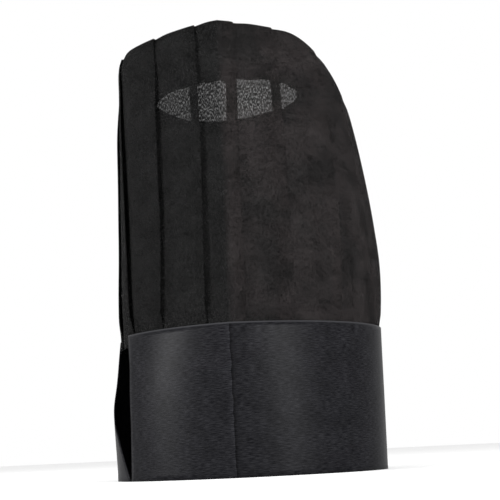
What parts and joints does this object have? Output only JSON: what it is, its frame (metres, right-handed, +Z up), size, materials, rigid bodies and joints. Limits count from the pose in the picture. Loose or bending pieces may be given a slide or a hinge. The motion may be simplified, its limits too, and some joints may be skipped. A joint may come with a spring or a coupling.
{
  "type": "disposable chef hat",
  "caption": "Tall black disposable chef hat of nonwoven cloth, with a pleated crown, an open vent in its turned-in top and a head band with an open closure.",
  "frame": {"origin": "middle of the hat's box at the level of the rim it rests on", "axes": "+Z up to the top of the crown, -Y out of the front crease, -X to the side where the band closes"},
  "size_m": [0.1936, 0.1854, 0.3001],
  "materials": {
    "crown_cloth": "matt thin black nonwoven",
    "band_cloth": "matt heavier black nonwoven"
  },
  "bodies": {
    "root": {"crown": "crown_cloth", "band": "band_cloth"}
  },
  "joints": []
}
